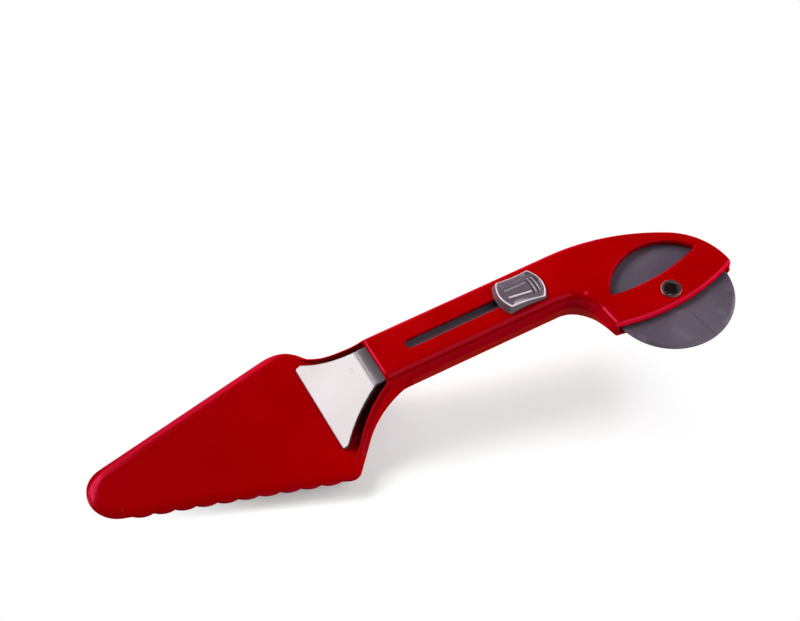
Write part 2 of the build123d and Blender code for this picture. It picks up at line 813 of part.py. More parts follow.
def make_pusher():
    foot = blade_thickness + pusher_lift
    top = [
        (pusher_front_x, foot + pusher_edge),
        handle_point(pusher_bend_u, -arm_depth),
        handle_point(slider_rest_u + arm_tail, -arm_depth),
    ]
    under = offset_path(top, -pusher_thickness)
    side = make_face(Polyline(*top, *reversed(under), close=True))
    side = fillet(side.vertices().sort_by_distance(top[1])[0], pusher_bend_radius)
    side = fillet(side.vertices().sort_by_distance(under[1])[0], pusher_bend_radius - pusher_thickness)
    front_face = make_face(Polyline(top[0], (pusher_front_x, 0), (under[0][0], 0), under[0], close=True))
    pusher = across(side, pusher_width) + across(front_face, pusher_width)
    pusher &= upright(pusher_plan(), foot, big)
    pusher += side_flanges()
    opening = stem_radius + ear_clearance
    ears = cross_bar(ear_radius, arm_width)
    slit = block((-ear_slit / 2, -arm_width, -pin_depth), (ear_slit / 2, arm_width, 0))
    hole = block((-opening, -opening, -handle_depth), (opening, opening, 0))
    cuts = Pos(slider_rest_u, 0, 0) * (hole + slit) + cross_bar(pin_radius + pin_clearance, 2 * arm_width)
    pusher += handle_frame * ears
    return pusher - handle_frame * cuts


nodes = {
    "server_body": make_server_body,
    "handle_base": make_handle_base,
    "base_screws": make_base_screws,
    "cutter_wheel": make_cutter_wheel,
    "axle_eyelet": make_axle_eyelet,
    "eyelet_washer": make_eyelet_washer,
    "thumb_slider": make_thumb_slider,
    "slider_pin": make_slider_pin,
    "pusher": make_pusher,
}

os.makedirs("parts", exist_ok=True)
for name, make in nodes.items():
    export_step(make(), f"parts/{name}.step")
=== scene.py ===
# %% [markdown]
# # A pizza wheel and cake server in one tool
# One end of this kitchen tool is a flat red server blade with a wavy edge. The other end is a round cutting
# wheel in a guard. A grey thumb button on the handle drives a pusher plate that slides the slice off the
# blade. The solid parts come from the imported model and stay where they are. This lesson gives them their
# finishes, adds the small forms that make them look real, and sets up the light and the camera.

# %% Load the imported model
import json
import math

import bmesh
import bpy
import numpy as np
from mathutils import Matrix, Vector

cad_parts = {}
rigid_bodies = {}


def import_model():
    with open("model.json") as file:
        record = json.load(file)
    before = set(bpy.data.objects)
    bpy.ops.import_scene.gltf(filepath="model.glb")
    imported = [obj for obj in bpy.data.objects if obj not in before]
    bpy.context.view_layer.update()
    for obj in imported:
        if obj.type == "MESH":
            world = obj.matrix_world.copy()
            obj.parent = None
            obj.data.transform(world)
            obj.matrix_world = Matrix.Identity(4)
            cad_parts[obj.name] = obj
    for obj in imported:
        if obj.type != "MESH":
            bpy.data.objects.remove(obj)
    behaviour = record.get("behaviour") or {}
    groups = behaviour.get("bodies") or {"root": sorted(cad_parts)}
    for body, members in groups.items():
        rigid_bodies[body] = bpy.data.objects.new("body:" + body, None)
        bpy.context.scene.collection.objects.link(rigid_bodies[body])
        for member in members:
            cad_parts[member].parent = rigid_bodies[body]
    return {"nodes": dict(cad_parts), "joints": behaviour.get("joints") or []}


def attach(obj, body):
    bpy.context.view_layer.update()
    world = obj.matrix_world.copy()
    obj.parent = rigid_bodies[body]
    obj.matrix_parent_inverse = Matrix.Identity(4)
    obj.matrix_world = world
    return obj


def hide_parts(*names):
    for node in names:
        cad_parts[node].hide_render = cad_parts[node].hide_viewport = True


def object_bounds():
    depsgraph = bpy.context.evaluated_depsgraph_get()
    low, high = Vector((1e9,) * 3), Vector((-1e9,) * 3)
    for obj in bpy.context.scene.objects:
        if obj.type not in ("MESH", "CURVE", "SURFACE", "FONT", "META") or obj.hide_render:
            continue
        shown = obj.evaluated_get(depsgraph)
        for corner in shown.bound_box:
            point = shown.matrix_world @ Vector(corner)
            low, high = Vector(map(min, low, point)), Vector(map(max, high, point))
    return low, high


for stray in list(bpy.data.objects):
    bpy.data.objects.remove(stray)
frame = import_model()
cad_low, cad_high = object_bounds()
print("solids:", ", ".join(sorted(frame["nodes"])))
print("box in mm:", [round(1000 * size) for size in cad_high - cad_low])

# %% [markdown]
# ## The handle's own directions
# The handle rises a little from the blade to the wheel, so sizes on it are easiest in a frame of its own:
# u along the handle, v across it and w up from its top face. The joints of the model already know these
# directions. The button slides along u, and the wheel turns about w. The pin under the button is the
# fixed point from which the top face is found.

# %% Handle frame from the joints
mm = 0.001
joints = {joint["name"]: joint for joint in frame["joints"]}
handle_along = -np.array(joints["pusher_slide"]["axis"])
handle_up = np.array(joints["wheel_spin"]["axis"])
handle_across = np.cross(handle_up, handle_along)
handle_pitch = math.atan2(handle_along[2], handle_along[0])
pin_place = np.array(joints["pusher_rock"]["pos_m"])
wheel_place = np.array(joints["wheel_spin"]["pos_m"])
pin_depth = 4.3 * mm
button_place = pin_place + pin_depth * handle_up


def on_handle(u, v, w, origin=button_place):
    """Points of the part's frame from the handle's u, v and w, measured from an origin."""
    steps = np.stack(np.broadcast_arrays(u, v, w), axis=-1)
    return origin + steps @ np.stack([handle_along, handle_across, handle_up])


print("handle pitch:", round(math.degrees(handle_pitch), 2), "degrees")

# %% [markdown]
# ## Camera
# The photograph was taken from above, at the blade's end, with a long lens. A camera is fixed by where it
# looks, how far it stands off, how it rolls and its focal length. Here these come from fitting the edges of
# the model to the picture, so the render lines up with the photograph.

# %% Camera at the photograph's viewing angle
image_width, image_height = 800, 621
sensor_width = 36.0
focal_length = 84.22
view_heading = math.radians(55.24)
view_dip = math.radians(51.72)
view_roll = math.radians(7.82)
aim_point = np.array([31.4, 0, 1.3]) * mm
aim_pixel = np.array([370.5, 391.0])
aim_depth = 833 * mm
clip_end = 20

forward = np.array([
    math.cos(view_heading) * math.cos(view_dip),
    math.sin(view_heading) * math.cos(view_dip),
    -math.sin(view_dip),
])
level_right = np.cross(forward, [0, 0, 1])
level_right /= np.linalg.norm(level_right)
level_down = np.cross(forward, level_right)
right = math.cos(view_roll) * level_right - math.sin(view_roll) * level_down
down = math.sin(view_roll) * level_right + math.cos(view_roll) * level_down
pixel = sensor_width / focal_length / image_width
offset = (aim_pixel - [image_width / 2, image_height / 2]) * pixel
eye = aim_point - aim_depth * (forward + offset[0] * right + offset[1] * down)

camera_data = bpy.data.cameras.new("photo_camera")
camera_data.sensor_width = sensor_width
camera_data.lens = focal_length
camera_data.clip_end = clip_end
camera = bpy.data.objects.new("photo_camera", camera_data)
bpy.context.scene.collection.objects.link(camera)
placing = np.eye(4)
placing[:3, :3] = np.stack([right, -down, -forward], axis=1)
placing[:3, 3] = eye
camera.matrix_world = placing.T
bpy.context.scene.camera = camera
print("camera at", np.round(eye, 3), "m")

# %% [markdown]
# ## Node helpers
# A material in Blender is a small graph of nodes. A few short helpers keep the graphs readable: one adds a
# node and fills or links its inputs by name, others remap a value, mix two colours or measure where a point
# of the piece lies. A group is a graph of its own with named sockets, so that several materials can share
# one effect.

# %% Helpers for single nodes
def add(tree, kind, inputs=None, **settings):
    """New node of a kind. An input gets a plain value, or a link where it is given a socket."""
    node = tree.nodes.new(kind)
    for name, value in settings.items():
        setattr(node, name, value)
    for name, value in (inputs or {}).items():
        if isinstance(value, bpy.types.NodeSocket):
            tree.links.new(value, node.inputs[name])
        else:
            node.inputs[name].default_value = value
    return node


def remap(tree, value, source, target, smooth=True):
    """Socket with a value moved from one range into another, clamped at both ends."""
    steps = {
        "Value": value, "From Min": source[0], "From Max": source[1],
        "To Min": target[0], "To Max": target[1],
    }
    easing = "SMOOTHSTEP" if smooth else "LINEAR"
    return add(tree, "ShaderNodeMapRange", steps, interpolation_type=easing).outputs[0]


def combine(tree, operation, first, second=0.0):
    """Socket with the result of one arithmetic step."""
    return add(tree, "ShaderNodeMath", {0: first, 1: second}, operation=operation).outputs[0]


def mix_colour(tree, share, first, second):
    """Socket with a colour between two colours."""
    node = add(tree, "ShaderNodeMix", {0: share, 6: first, 7: second}, data_type="RGBA")
    return node.outputs[2]


# %% Helpers that measure a place on the piece
def object_place(tree):
    """Socket with the place on the piece, in coordinates that stick to it."""
    return add(tree, "ShaderNodeTexCoord").outputs["Object"]


def distance_from(tree, place, centre):
    """Socket with the distance of a place from a centre."""
    return add(tree, "ShaderNodeVectorMath", {0: place, 1: centre}, operation="DISTANCE").outputs["Value"]


def reach_along(tree, place, origin, direction):
    """Socket with how far a place lies from an origin along a direction."""
    step = add(tree, "ShaderNodeVectorMath", {0: place, 1: tuple(origin)}, operation="SUBTRACT")
    pair = {0: step.outputs[0], 1: tuple(direction)}
    return add(tree, "ShaderNodeVectorMath", pair, operation="DOT_PRODUCT").outputs["Value"]


# %% Helpers for groups
def new_group(name, inputs, outputs):
    """Empty shader group with named value sockets, and its two end nodes."""
    group = bpy.data.node_groups.new(name, "ShaderNodeTree")
    for label, value in inputs.items():
        socket = group.interface.new_socket(label, in_out="INPUT", socket_type="NodeSocketFloat")
        socket.default_value = value
    for label in outputs:
        group.interface.new_socket(label, in_out="OUTPUT", socket_type="NodeSocketFloat")
    return group, group.nodes.new("NodeGroupInput"), group.nodes.new("NodeGroupOutput")


def finish_group(group, end, results):
    """Link each named result to the group's output of that name."""
    for label, socket in results.items():
        group.links.new(socket, end.inputs[label])
    print("group", group.name, "gives", ", ".join(results))


# %% [markdown]
# ## Moulded skin
# Injection-moulded plastic is never one flat colour. The melt leaves broad, faint clouds, and the polished
# mould leaves a fine orange peel. Both could be painted, but noise read in object coordinates sticks to the
# piece, has no seams and keeps its real size. The group gives the clouds and the peel as plain values.

# %% Group for the clouds and the orange peel
cloud_range = (0.3, 0.7)

skin, start, end = new_group("moulded_skin", {"Cloud Scale": 40.0, "Peel Scale": 700.0}, ["Cloud", "Peel"])
place = object_place(skin)
cloud = add(skin, "ShaderNodeTexNoise", {
    "Vector": place, "Scale": start.outputs["Cloud Scale"], "Detail": 3.0,
})
peel = add(skin, "ShaderNodeTexNoise", {
    "Vector": place, "Scale": start.outputs["Peel Scale"], "Detail": 2.0,
})
finish_group(skin, end, {
    "Cloud": remap(skin, cloud.outputs[0], cloud_range, (0.0, 1.0)),
    "Peel": peel.outputs[0],
})

# %% [markdown]
# ## Rub marks
# A tool that lives in a drawer gets fine scratches and a few specks of dust. A scratch is a thin level line
# of stretched noise: where the noise is close to its middle value, the line is. A second, broad noise keeps
# the scratches in patches, because a real tool rubs on its high places only.

# %% Group for scratches and specks
scratch_turn, scratch_stretch = (0.1, 0.1, 0.5), (0.02, 1.0, 0.4)
scratch_width = 0.006
patch_scale, patch_range = 55.0, (0.52, 0.68)
speck_size, speck_choice = (0.05, 0.12), (0.985, 0.99)

rubs, start, end = new_group(
    "rub_marks", {"Line Scale": 160.0, "Speck Scale": 420.0}, ["Scratches", "Specks"],
)
place = object_place(rubs)
turned = add(rubs, "ShaderNodeMapping", {
    "Vector": place, "Rotation": scratch_turn, "Scale": scratch_stretch,
})
lines = add(rubs, "ShaderNodeTexNoise", {
    "Vector": turned.outputs[0], "Scale": start.outputs["Line Scale"], "Detail": 1.0,
})
from_middle = combine(rubs, "ABSOLUTE", combine(rubs, "SUBTRACT", lines.outputs[0], 0.5))
thin = remap(rubs, from_middle, (0.0, scratch_width), (1.0, 0.0))
patches = add(rubs, "ShaderNodeTexNoise", {"Vector": place, "Scale": patch_scale, "Detail": 2.0})
patch = remap(rubs, patches.outputs[0], patch_range, (0.0, 1.0))
cells = add(rubs, "ShaderNodeTexVoronoi", {"Vector": place, "Scale": start.outputs["Speck Scale"]})
dots = remap(rubs, cells.outputs["Distance"], speck_size, (1.0, 0.0))
chosen = add(rubs, "ShaderNodeSeparateColor", {0: cells.outputs["Color"]})
few = remap(rubs, chosen.outputs[0], speck_choice, (0.0, 1.0), smooth=False)
finish_group(rubs, end, {
    "Scratches": combine(rubs, "MULTIPLY", thin, patch),
    "Specks": combine(rubs, "MULTIPLY", dots, few),
})

# %% [markdown]
# ## Rounded edges
# No moulded edge is perfectly sharp: a tiny rounding catches the light as a thin bright line. The Bevel
# node gives the normal that such a rounding would have. Where it leaves the face's own normal there is an
# edge, and that difference is also a mask for the paler, rubbed colour along edges.

# %% Group for rubbed edges
rub_radius = 0.4 * mm
edge_agreement = (0.80, 0.995)
bevel_samples = 6

edges, start, end = new_group("rubbed_edges", {"Radius": rub_radius}, ["Edge"])
rounded = add(edges, "ShaderNodeBevel", {"Radius": start.outputs["Radius"]}, samples=bevel_samples)
flat = add(edges, "ShaderNodeNewGeometry").outputs["Normal"]
agreement = add(edges, "ShaderNodeVectorMath", {0: rounded.outputs[0], 1: flat}, operation="DOT_PRODUCT")
finish_group(edges, end, {"Edge": remap(edges, agreement.outputs["Value"], edge_agreement, (1.0, 0.0))})

# %% [markdown]
# ## Moulded plastic
# All the plastic pieces share one recipe, and differ in colour, gloss and marks. The clouds move the colour
# between two tones and the gloss between two roughnesses. Scratches, specks and edges show a paler, rubbed
# colour. The gloss of the red reflects pink rather than white in the photograph, and a tint of the coat gives
# that. A piece may add marks of its own as a last step.

# %% Plastic material from the shared effects
scratch_share, speck_share = 0.06, 0.6
scratch_dulling = 0.03
edge_rounding = 0.5 * mm
peel_strength = 0.25


def plastic(name, colours, gloss, tint, rub_colour, edge_share, peel_height, marks_on=None, ior=1.5):
    """Glossy moulded plastic between two colours, with clouds, peel, scratches, specks and rubbed edges.
    A last step of the piece's own may mark the colour."""
    material = bpy.data.materials.new(name)
    material.use_nodes = True
    tree = material.node_tree
    tree.nodes.clear()
    skin_node = add(tree, "ShaderNodeGroup", node_tree=skin)
    rub_node = add(tree, "ShaderNodeGroup", node_tree=rubs)
    edge_node = add(tree, "ShaderNodeGroup", node_tree=edges)
    cloud, peel = skin_node.outputs["Cloud"], skin_node.outputs["Peel"]
    scratches, specks = rub_node.outputs["Scratches"], rub_node.outputs["Specks"]
    colour = mix_colour(tree, cloud, (*colours[0], 1), (*colours[1], 1))
    lines = combine(tree, "MULTIPLY", scratches, scratch_share)
    dots = combine(tree, "MULTIPLY", specks, speck_share)
    rims = combine(tree, "MULTIPLY", edge_node.outputs["Edge"], edge_share)
    rubbed = combine(tree, "MAXIMUM", combine(tree, "MAXIMUM", lines, dots), rims)
    colour = mix_colour(tree, rubbed, colour, (*rub_colour, 1))
    if marks_on:
        colour = marks_on(tree, colour)
    dulled = combine(tree, "MULTIPLY", scratches, scratch_dulling)
    roughness = combine(tree, "ADD", remap(tree, cloud, (0, 1), gloss, smooth=False), dulled)
    edge_normal = add(tree, "ShaderNodeBevel", {"Radius": edge_rounding}, samples=bevel_samples).outputs[0]
    bump = add(tree, "ShaderNodeBump", {
        "Height": peel, "Strength": peel_strength, "Distance": peel_height, "Normal": edge_normal,
    })
    shader = add(tree, "ShaderNodeBsdfPrincipled", {
        "Base Color": colour, "Roughness": roughness, "Normal": bump.outputs[0], "IOR": ior,
        "Coat Weight": 1.0 if tint else 0.0, "Coat IOR": 1.0, "Coat Tint": (*(tint or (1, 1, 1)), 1),
    })
    add(tree, "ShaderNodeOutputMaterial", {"Surface": shader.outputs[0]})
    print("material", name, "with", len(tree.nodes), "nodes")
    return material


# %% [markdown]
# ## Painted shade and highlights on the red shell
# The blade is painted a deeper red than the thick handle, as shade. The guard's cut edge runs along an arc
# above the wheel, and its rounding is painted pale pink as a highlight. There is also one small painted
# highlight, a pale glint by the guard. Each mark is a mask worked out from where a point lies: along the
# tool, close to the arc, or close to one place.

# %% Masks and colours of the painted shade and highlights
# Painted shade: the blade is made a deeper red than the handle.
blade_shade_red = (0.205, 0.0001, 0.0002, 1)
blade_shade_run, blade_shade_share = (40 * mm, -60 * mm), 0.8
# Painted highlight: one small pale pink glint on the handle by the guard.
glint_place = tuple(on_handle(27.0 * mm, -14.5 * mm, 0.0))
glint_colour = (0.62, 0.09, 0.19, 1)
glint_inner, glint_outer = 0.3 * mm, 1.3 * mm
# Painted highlight: a pale pink band on the rounding of the guard's cut edge, on its near side.
cut_edge_centre = tuple(on_handle(54.9 * mm, 57.6 * mm, 0.0))
cut_edge_radius = 96.6 * mm
cut_edge_highlight_band = (cut_edge_radius - 1.8 * mm, cut_edge_radius - 0.7 * mm)
cut_edge_highlight_heights = (-2.6 * mm, -1.8 * mm)
cut_edge_highlight_sides = (-27 * mm, -29 * mm)
cut_edge_highlight_colour = (0.88, 0.11, 0.19, 1)
cut_edge_highlight_share = 0.72


def spot(tree, centre, inner, outer):
    """Mask of a small round spot at a place on the piece."""
    return remap(tree, distance_from(tree, object_place(tree), centre), (inner, outer), (1.0, 0.0))


def painted_cut_edge_highlight(tree):
    """Mask of the painted highlight on the rounding along the guard's cut edge: close to its arc, near the top
    of the guard and on the near side."""
    place = object_place(tree)
    away = distance_from(tree, place, cut_edge_centre)
    height = reach_along(tree, place, button_place, handle_up)
    side = add(tree, "ShaderNodeSeparateXYZ", {0: place}).outputs["Y"]
    mask = remap(tree, away, cut_edge_highlight_band, (0.0, cut_edge_highlight_share))
    mask = combine(tree, "MULTIPLY", mask, remap(tree, height, cut_edge_highlight_heights, (0.0, 1.0)))
    return combine(tree, "MULTIPLY", mask, remap(tree, side, cut_edge_highlight_sides, (0.0, 1.0)))


def shell_painted_light(tree, colour):
    """Painted shade: a deeper red towards the blade. Painted highlights: a pale cut edge and one small glint.
    """
    along = add(tree, "ShaderNodeSeparateXYZ", {0: object_place(tree)}).outputs["X"]
    colour = mix_colour(tree, remap(tree, along, blade_shade_run, (0.0, blade_shade_share)), colour, blade_shade_red)
    colour = mix_colour(tree, painted_cut_edge_highlight(tree), colour, cut_edge_highlight_colour)
    return mix_colour(tree, spot(tree, glint_place, glint_inner, glint_outer), colour, glint_colour)


# %% [markdown]
# ## Red plastic
# The server, its neck, the handle and the guard are one glossy red moulding, and the handle's underside is
# a second, duller one. A red pigment swallows nearly all green and blue, so the colour is almost pure red.

# %% Red for the shell and the base
red_tint = (1.0, 0.09, 0.25)
base_tint = (1.0, 0.34, 0.30)

red_shell = plastic(
    "red_gloss_shell", [(0.285, 0.0002, 0.0004), (0.320, 0.0003, 0.0005)], (0.14, 0.21), red_tint,
    (0.75, 0.12, 0.15), 0.35, 0.02 * mm, shell_painted_light,
)
red_base = plastic(
    "red_satin_base", [(0.30, 0.0050, 0.0040), (0.345, 0.0070, 0.0050)], (0.30, 0.42), base_tint,
    (0.55, 0.03, 0.03), 0.2, 0.03 * mm,
)

# %% [markdown]
# ## Grey plastic
# The pusher, the thumb button and the wheel are moulded in a cool grey with a slight violet cast. The
# pusher's slope is almost white in the photograph only because it mirrors the softbox, as any smooth grey
# plastic does when the light stands at the mirror angle. A small ring on the slope shows where the plastic
# ran into the mould. The button carries painted highlights and painted shade as a value on each point,
# which the material turns into paler or darker grey.

# %% Greys for the pusher and the button
# Colours of the button's painted highlight and painted shade.
highlight_grey = (0.80, 0.72, 0.77, 1)
shade_grey = (0.015, 0.012, 0.015, 1)
gate_place = (22.4 * mm, 3.7 * mm, 17.1 * mm)
gate_disc, gate_hole = (0.9 * mm, 1.4 * mm), (0.4 * mm, 0.8 * mm)
gate_colour, gate_share = (0.02, 0.016, 0.016, 1), 0.7


def button_painted_light(tree, colour):
    """Painted highlight where the button's painted-light value is above zero, and painted shade where it is
    below.
    """
    painted_light = add(tree, "ShaderNodeAttribute", attribute_name="painted_light").outputs["Fac"]
    colour = mix_colour(tree, remap(tree, painted_light, (0, 1), (0, 1), smooth=False), colour, highlight_grey)
    return mix_colour(tree, remap(tree, painted_light, (0, -1), (0, 1), smooth=False), colour, shade_grey)


def gate_mark(tree, colour):
    """Small dark ring on the slope: a spot less a smaller spot."""
    disc = spot(tree, gate_place, *gate_disc)
    ring = combine(tree, "SUBTRACT", disc, spot(tree, gate_place, *gate_hole))
    return mix_colour(tree, combine(tree, "MULTIPLY", ring, gate_share), colour, gate_colour)


grey_pusher = plastic(
    "grey_gloss_pusher", [(0.095, 0.083, 0.100), (0.115, 0.100, 0.118)], (0.19, 0.25), None,
    (0.42, 0.39, 0.42), 0.3, 0.02 * mm, gate_mark, ior=1.62,
)
grey_button = plastic(
    "grey_gloss_button", [(0.085, 0.062, 0.083), (0.112, 0.085, 0.108)], (0.18, 0.28), None,
    (0.52, 0.48, 0.52), 0.3, 0.01 * mm, button_painted_light,
)

# %% [markdown]
# ## Marks on the wheel
# The wheel is duller than the other greys, because it rubs on boards and plates. It has pale scuffs in
# patches, which noise gives, and one fine dark flow line, where two streams of plastic met in the mould. The
# line is a mask from two measures: how far a point lies from the hub along the line, and how far beside it.

# %% Grey for the wheel
scuff_scale, scuff_range, scuff_share = 110.0, (0.55, 0.75), 0.45
scuff_colour = (0.17, 0.145, 0.175, 1)
flow_angle = math.radians(-79)
flow_along = math.cos(flow_angle) * handle_along + math.sin(flow_angle) * handle_across
flow_side = math.cos(flow_angle) * handle_across - math.sin(flow_angle) * handle_along
flow_start, flow_share = (10 * mm, 13 * mm), 0.6
flow_width = (0.15 * mm, 0.45 * mm)
flow_colour = (0.03, 0.024, 0.03, 1)


def wheel_marks(tree, colour):
    """Pale scuffs in patches, and one fine dark flow line from the hub to the rim."""
    place = object_place(tree)
    noise = add(tree, "ShaderNodeTexNoise", {"Vector": place, "Scale": scuff_scale, "Detail": 5.0})
    scuffs = remap(tree, noise.outputs[0], scuff_range, (0.0, scuff_share))
    colour = mix_colour(tree, scuffs, colour, scuff_colour)
    beside = combine(tree, "ABSOLUTE", reach_along(tree, place, wheel_place, flow_side))
    line = remap(tree, reach_along(tree, place, wheel_place, flow_along), flow_start, (0.0, flow_share))
    line = combine(tree, "MULTIPLY", line, remap(tree, beside, flow_width, (1.0, 0.0)))
    return mix_colour(tree, line, colour, flow_colour)


grey_wheel = plastic(
    "grey_satin_wheel", [(0.069, 0.052, 0.077), (0.085, 0.065, 0.092)], (0.26, 0.38), None,
    (0.30, 0.27, 0.31), 0.2, 0.02 * mm, wheel_marks,
)

# %% [markdown]
# ## Bare metal
# The wheel turns on a hollow rivet, rolled over a washer underneath. Screws and pin are plain steel. Metal
# gets its colour from what it reflects, so the finish is mostly roughness: a fine grain, and darker clouds
# where it has been handled. The rivet's tones are reddish as a painted reflection of the red shell, and its
# bore is painted dark as shade. How deep a point lies in the bore is its height along the wheel's axis.

# %% Metals for the rivet, the screws and the pin
metal_clouds, metal_grain, grain_strength = 220.0, 2600.0, 0.3
# Painted shade in the rivet's bore: a near-black colour, fading in between two heights, and its roughness.
bore_shade_colour = (0.030, 0.005, 0.003, 1)
bore_shade_heights = (4.8 * mm, 4.3 * mm)
bore_shade_gloss = (0.3, 0.95)


def painted_bore_shade(tree):
    """Mask of painted shade that grows from nothing at the rivet's flange to full a little way down its bore.
    """
    height = reach_along(tree, object_place(tree), wheel_place, handle_up)
    return remap(tree, height, bore_shade_heights, (0.0, 1.0))


def metal(name, colours, gloss, grain_height, painted_shade=None):
    """Bare metal between two tones, with handling clouds in its gloss, a fine grain and perhaps painted shade.
    """
    material = bpy.data.materials.new(name)
    material.use_nodes = True
    tree = material.node_tree
    tree.nodes.clear()
    scales = {"Cloud Scale": metal_clouds, "Peel Scale": metal_grain}
    skin_node = add(tree, "ShaderNodeGroup", scales, node_tree=skin)
    cloud, grain = skin_node.outputs["Cloud"], skin_node.outputs["Peel"]
    colour = mix_colour(tree, cloud, (*colours[0], 1), (*colours[1], 1))
    bump = add(tree, "ShaderNodeBump", {
        "Height": grain, "Strength": grain_strength, "Distance": grain_height,
    })
    shader = add(tree, "ShaderNodeBsdfPrincipled", {
        "Base Color": colour, "Roughness": remap(tree, cloud, (0, 1), gloss, smooth=False),
        "Normal": bump.outputs[0], "Metallic": 1.0,
    })
    if painted_shade:
        share = painted_shade(tree)
        tree.links.new(mix_colour(tree, share, colour, bore_shade_colour), shader.inputs["Base Color"])
        tree.links.new(remap(tree, share, (0, 1), (1.0, 0.0), smooth=False), shader.inputs["Metallic"])
        tree.links.new(remap(tree, share, (0, 1), bore_shade_gloss, smooth=False), shader.inputs["Roughness"])
    add(tree, "ShaderNodeOutputMaterial", {"Surface": shader.outputs[0]})
    print("material", name, "with", len(tree.nodes), "nodes")
    return material


# The rivet's reddish tones are a painted reflection of the red shell; its bore gets painted shade.
eyelet_metal = metal(
    "eyelet_painted_reflection_and_shade", [(0.20, 0.115, 0.105), (0.33, 0.22, 0.205)], (0.26, 0.42), 0.01 * mm, painted_bore_shade,
)
screw_steel = metal("bright_steel", [(0.42, 0.42, 0.43), (0.58, 0.58, 0.60)], (0.22, 0.36), 0.01 * mm)

# %% [markdown]
# ## Finishes on the solids
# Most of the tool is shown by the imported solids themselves, because their shapes are already right. They only
# need their materials. The thumb button and the screws get new surfaces further on.

# %% Finishes on the solids that stay as they are
finishes = {
    "server_body": red_shell,
    "handle_base": red_base,
    "pusher": grey_pusher,
    "cutter_wheel": grey_wheel,
    "axle_eyelet": eyelet_metal,
    "eyelet_washer": screw_steel,
    "slider_pin": screw_steel,
}
for node, material in finishes.items():
    frame["nodes"][node].data.materials.clear()
    frame["nodes"][node].data.materials.append(material)
print("finished solids:", len(finishes))

# %% [markdown]
# ## Meshes from grids of points
# Each added piece is one sheet of points: rows run over the shape and columns run round it. The points are
# worked out as whole arrays, and neighbours in the grid become four-sided faces. Where a row shrinks to one
# point or a seam closes, the doubled points are welded, and then all faces are turned outwards.

# %% Helpers for pieces
weld_distance = 0.001 * mm


def grid_faces(rows, columns):
    """Quads between neighbours of a grid that closes on itself along its columns."""
    index = np.arange(rows * columns).reshape(rows, columns)
    after = np.roll(index, -1, axis=1)
    return np.stack([index[:-1], after[:-1], after[1:], index[1:]], axis=-1).reshape(-1, 4)


def new_piece(name, sheets, material, body, crease=35, painted_light=None):
    """One object from sheets of points in metres, welded, smooth below the crease angle, riding on a body.
    Painted light is one value for each point of the first sheet: highlight above zero, shade below."""
    points = np.concatenate([sheet.reshape(-1, 3) for sheet in sheets])
    counts = [sheet.shape[0] * sheet.shape[1] for sheet in sheets]
    first = np.concatenate([[0], np.cumsum(counts)[:-1]])
    faces = np.concatenate([grid_faces(*sheet.shape[:2]) + shift for sheet, shift in zip(sheets, first)])
    mesh = bpy.data.meshes.new(name)
    mesh.from_pydata(points.tolist(), [], faces.tolist())
    if painted_light is not None:
        values = np.zeros(len(points), dtype=np.float32)
        values[:painted_light.size] = painted_light.ravel()
        mesh.attributes.new("painted_light", "FLOAT", "POINT").data.foreach_set("value", values)
    shell = bmesh.new()
    shell.from_mesh(mesh)
    bmesh.ops.remove_doubles(shell, verts=shell.verts, dist=weld_distance)
    bmesh.ops.recalc_face_normals(shell, faces=shell.faces)
    shell.to_mesh(mesh)
    shell.free()
    mesh.shade_smooth()
    mesh.set_sharp_from_angle(angle=math.radians(crease))
    mesh.materials.append(material)
    piece = bpy.data.objects.new(name, mesh)
    bpy.context.scene.collection.objects.link(piece)
    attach(piece, body)
    print("piece", name, "with", len(mesh.polygons), "faces")
    return piece


# %% [markdown]
# ## Thumb button: outline
# The button is a grey cap with bowed ends and slightly hollow sides. It could be cut from a block, but its
# outline and its profile are both simple lines, so the cap is a sheet: the outline is drawn in or let out by
# the profile's inset, and set at the profile's height. Each of the four sides is a straight run plus a bow.
# A second set of arrows, one for each point, says which way is inward there. Averaging neighbours rounds the
# corners of both.

# %% Outline of the button and the way it shrinks
button_front, button_rear = 7.0 * mm, 9.0 * mm
half_front, half_rear = 7.4 * mm, 7.5 * mm
side_bows = np.array([-0.55, 3.1, -0.55, 2.6]) * mm
points_per_side = 90
corner_reach = 3


def soften(points, reach):
    """Rounds the corners of closed rows of points: each is averaged with its neighbours within a reach."""
    shifts = [np.roll(points, shift, axis=0) for shift in range(-reach, reach + 1)]
    return np.mean(shifts, axis=0)


corners = np.array([
    [-button_front, -half_front], [button_rear, -half_rear],
    [button_rear, half_rear], [-button_front, half_front],
])
inward = np.array([[1, 1], [-1, 1], [-1, -1], [1, -1]])
share = np.arange(points_per_side) / points_per_side
runs = np.roll(corners, -1, axis=0) - corners
outward = np.stack([runs[:, 1], -runs[:, 0]], axis=-1) / np.linalg.norm(runs, axis=1)[:, None]
bows = 4 * side_bows[:, None] * share * (1 - share)
sides = corners[:, None] + runs[:, None] * share[:, None] + outward[:, None] * bows[..., None]
turns = inward[:, None] + (np.roll(inward, -1, axis=0) - inward)[:, None] * share[:, None]
outline = soften(sides.reshape(-1, 2), corner_reach)
shrink = soften(turns.reshape(-1, 2), corner_reach)
print("outline points:", len(outline))

# %% [markdown]
# ## Thumb button: relief and painted light
# The top slopes to the rear and is dished for the thumb, with curved grip ridges at the rear and two plain
# ribs along its middle. Their heights are sums of simple profiles of the distance from a line. The same
# distances give painted highlights on the ribs and ridges, and painted shade in the grooves and by the ribs.

# %% Relief on the button's top
front_height, rear_height = 4.0 * mm, 1.8 * mm
ridge_height, ridge_half_width = 0.45 * mm, 0.55 * mm
ridge_arc, ridge_reach, ridge_fade = 18 * mm, 4.6 * mm, 0.8 * mm
ridge_places = np.array([10.3, 8.2]) * mm
groove_places = np.array([11.3, 9.25, 7.2]) * mm
rib_height, rib_half_width = 0.4 * mm, 0.6 * mm
rib_front, rib_rear = -5.0 * mm, 5.6 * mm
rib_front_v, rib_rear_v = 1.9 * mm, 2.6 * mm


